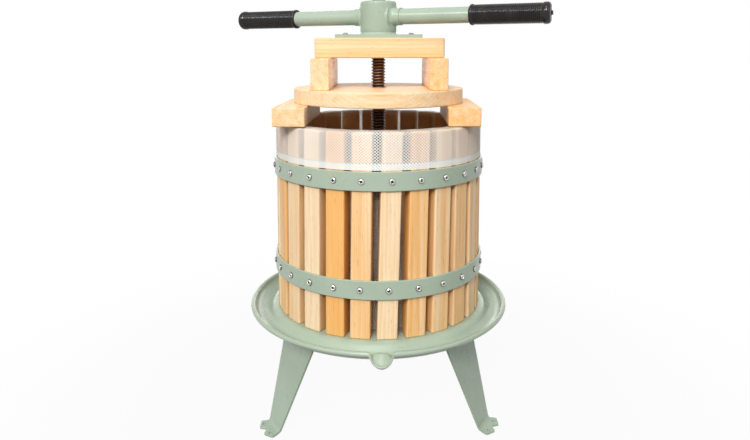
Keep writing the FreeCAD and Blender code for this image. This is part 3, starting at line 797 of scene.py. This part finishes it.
def screwHead(look, height):
    # a dome; where the smaller of |x| and |y| is within an arm's half width, the cross dips into it;
    # painted shade lies in the cross and round the rim
    t = np.linspace(0, fullTurn, look["columns"], endpoint=False)[None]
    s = np.linspace(0, 1, look["rows"])[1:, None]
    x, y = s * np.cos(t), s * np.sin(t)
    dome = np.sqrt(np.clip(1 - (s * look["cut"]) ** look["power"], 0, 1)) * np.ones_like(t)
    inside = smooth((look["arm"] * 1.3 - np.minimum(np.abs(x), np.abs(y))) / (look["arm"] * 0.5))
    reach = smooth((look["reach"] - np.maximum(np.abs(x), np.abs(y))) / look["fade"])
    dip = inside * reach
    rimmed = smooth((s - look["rimStart"]) / look["rimWidth"]) * np.ones_like(t)
    # painted shade: the cross recess and a ring round the rim
    grimeAndShade = np.maximum(dip, look["rimShade"] * rimmed)
    points = np.stack([look["radius"] * x, look["radius"] * y, height * (dome - look["deep"] * dip)], axis=-1)
    rim = points[-1:] * [1, 1, 0]
    return np.concatenate([points, rim]), np.concatenate([grimeAndShade, grimeAndShade[-1:]])


def addScrews(name, node, body, places, height):
    # places: (origin, outward direction, sideways direction) for each head
    head, grimeAndShade = screwHead(screwLook, height)
    n, m = head.shape[:2]
    origin, out, side = (np.array([place[i] for place in places], float)[:, None, None] for i in range(3))
    up = np.cross(out, side)
    points = origin + head[..., :1] * side + head[..., 1:2] * up + head[..., 2:] * out
    starts = np.arange(len(places))[:, None] * n * m
    quads = (gridFaces(n, m)[None, :, ::-1] + starts[..., None]).reshape(-1, 4)
    caps = np.concatenate([np.arange(m) + starts, np.arange(m)[::-1] + (n - 1) * m + starts])
    addSurface(name, points, [quads, caps], zinc, body, [node],
               {"grimeAndShade": np.tile(grimeAndShade.reshape(-1), len(places))})


def makeHoopScrews(look):
    # one head on each stave, each cross turned by its own angle
    for hoop in ("lower_hoop", "upper_hoop"):
        low, high = boxOf(hoop)
        radius = (high[0] - low[0]) / 2
        places = []
        for i in range(look["count"]):
            angle = staveAngle(look, i, (low[2] + high[2]) / 2)
            out = np.array([math.cos(angle), math.sin(angle), 0])
            spin = fullTurn * chance(i, 3 if hoop == "lower_hoop" else 4)
            side = np.array([-out[1], out[0], 0]) * math.cos(spin) + np.array([0, 0, 1]) * math.sin(spin)
            places.append((out * radius + [0, 0, (low[2] + high[2]) / 2], out, side))
        addScrews("round_head_" + hoop + "_screws", hoop + "_screws", "basket", places, screwLook["height"])


def makePlateBolts():
    top = boxOf("thrust_plate")[1][2]
    low, high = boxOf("plate_bolts")
    offset = (high[0] - low[0]) / 2 - screwLook["radius"]
    places = [((side * offset, 0, top), (0, 0, 1), (math.cos(side), math.sin(side), 0)) for side in (-1, 1)]
    addScrews("round_head_plate_bolts", "plate_bolts", "beam", places, screwLook["plateHeight"])


makeHoopScrews(staveLook)
makePlateBolts()
print("screws made")


# rubber grips

gripLook = {"radius": 0.0134, "ring": 0.0142, "groove": 0.0011, "pitch": 0.0024, "collar": 0.005,
            "round": 0.005, "length": 0.105, "nub": 0.002, "nubRadius": 0.003, "point": 0.0002,
            "bore": 0.01105, "wall": 0.004, "edge": 0.0012, "turn": -27.5, "end": 0.2415,
            "ribSteps": 8, "ribPower": 0.8, "roundSteps": 7, "columns": 56}


def gripProfile(look):
    # (radius, place along the arm): a ring, ribs that follow a rectified sine, a ring, a round end with a nub
    length, collar, edge, ring = look["length"], look["collar"], look["edge"], look["ring"]
    shoulder = length - look["round"]
    outline = [(look["bore"], 0.0), (ring - edge, 0.0), (ring, edge), (ring, collar - edge),
               (ring - edge, collar)]
    x = np.arange(collar + edge / 2, shoulder - collar - edge / 2, look["pitch"] / look["ribSteps"])
    ribs = np.abs(np.sin((x - x[0]) / look["pitch"] * math.pi)) ** look["ribPower"]
    outline += list(zip(look["radius"] - look["groove"] * (1 - ribs), x))
    outline += [(ring - edge, shoulder - collar), (ring, shoulder - collar + edge), (ring, shoulder)]
    for a in np.linspace(0, math.pi / 2, look["roundSteps"])[1:]:
        outline.append((ring - look["round"] * (1 - math.cos(a)), shoulder + look["round"] * math.sin(a)))
    nub, tip = look["nubRadius"], length + look["nub"]
    outline += [(nub * 1.2, length), (nub, length + edge / 3), (nub, tip - edge / 2), (nub * 0.7, tip),
                (look["point"], tip)]
    return outline + [(look["point"], length - look["wall"]), (look["bore"], length - look["wall"])]


def makeGrips(look):
    profile = gripProfile(look)
    rows = lathe(profile, look["columns"])
    start = look["end"] - look["length"]
    height = centreOf("right_grip")[2]
    for side, extra in (("right", 0), ("left", 180)):
        laid = np.stack([rows[..., 2] + start, rows[..., 1], height - rows[..., 0]], axis=-1)
        addSurface("ribbed_grip_" + side, turnZ(laid, math.radians(look["turn"] + extra)),
                   [gridFaces(len(profile), look["columns"], closedRows=True)], rubber, "handle",
                   [side + "_grip"])


makeGrips(gripLook)
print("grips made")


# filter bag: one net, from the hole in its floor up the inside, over the rim and down to the hem

bagLook = {"around": 286, "inner": 0.1262, "outer": 0.1461, "hole": 0.0215, "floor": 0.1575, "top": 0.4153,
           "hemBottom": 0.3678, "hemTop": 0.3762, "bend": 0.0013, "sag": 0.0008, "dip": 0.0013,
           "rows": (24, 60, 9, 20), "waves": ((11, 0.4, 9), (37, 0.0, 14)), "waveShare": 0.35,
           "gapShare": 0.3, "dipWave": 0.3, "slack": 0.001, "insideShade": 0.004}


def makeBag(look):
    # a turned path; between staves the fold dips and draws in, and slow waves loosen the wall
    bend, rows = look["bend"], look["rows"]
    path = [(r, look["floor"]) for r in np.linspace(look["hole"], look["inner"] - bend, rows[0])]
    path += [(look["inner"], z) for z in np.linspace(look["floor"] + bend, look["top"] - bend, rows[1])]
    path += [(r, look["top"]) for r in np.linspace(look["inner"] + bend, look["outer"] - bend, rows[2])]
    path += [(look["outer"], z) for z in np.linspace(look["top"] - bend, look["hemBottom"], rows[3])]
    path = np.array(path)
    far = np.concatenate([[0], np.cumsum(np.hypot(*np.diff(path, axis=0).T))])
    t = np.linspace(0, fullTurn, look["around"] + 1)[None]
    r, z = path[:, :1], path[:, 1:]
    gap = 0.5 + 0.5 * np.cos(staveLook["count"] * (t + math.pi / 2 - math.radians(staveLook["turn"])))
    wave = sum(0.5 * np.sin(turns * t + start + climb * z) for turns, start, climb in look["waves"])
    wall = smooth((r - look["inner"] + 0.002) / 0.002) * smooth((z - look["floor"] - 0.002) / 0.006)
    fold = smooth((z - look["top"] + 0.010) / 0.010) * smooth((r - look["inner"]) / 0.004)
    rr = r + look["sag"] * wall * ((wave - 1.0) * look["waveShare"] - look["gapShare"] * gap)
    zz = z - look["dip"] * fold * gap * (1 - look["dipWave"] + look["dipWave"] * wave)
    points = np.stack([rr * np.cos(t), rr * np.sin(t), zz], axis=-1)
    n, m = rr.shape
    cloth = np.stack(np.broadcast_arrays(t * look["inner"], far[:, None]), axis=-1).reshape(-1, 2)
    hem = (path[:, 0] > look["outer"] - look["slack"]) & (path[:, 1] < look["hemTop"])
    # painted shade on the net inside the basket fades in over a short band below the top
    below = smooth((look["top"] - look["insideShade"] - path[:, 1]) / look["insideShade"])
    shadedInside = below * (path[:, 0] < look["inner"] + look["slack"])
    bag = addSurface("net_filter_bag", points, [gridFaces(n, m, closedColumns=False)], whiteNet, "bag",
                     ["filter_bag"],
                     {"hem": np.repeat(hem.astype(float), m), "shadedInside": np.repeat(shadedInside, m)}, cloth)
    area = float(np.sum(fullTurn * (path[1:, 0] + path[:-1, 0]) / 2 * np.diff(far)))


makeBag(bagLook)
print("bag made")


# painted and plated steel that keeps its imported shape

for name, coat in (("thrust_collar", enamel), ("right_arm", enamel), ("left_arm", enamel),
                   ("leg_bolts", zinc), ("leg_nuts", zinc), ("spindle_upper_nut", zinc),
                   ("spindle_lower_nut", zinc), ("spindle_washer", zinc)):
    nodes[name].data.materials.clear()
    nodes[name].data.materials.append(coat)
print("steel pieces painted")
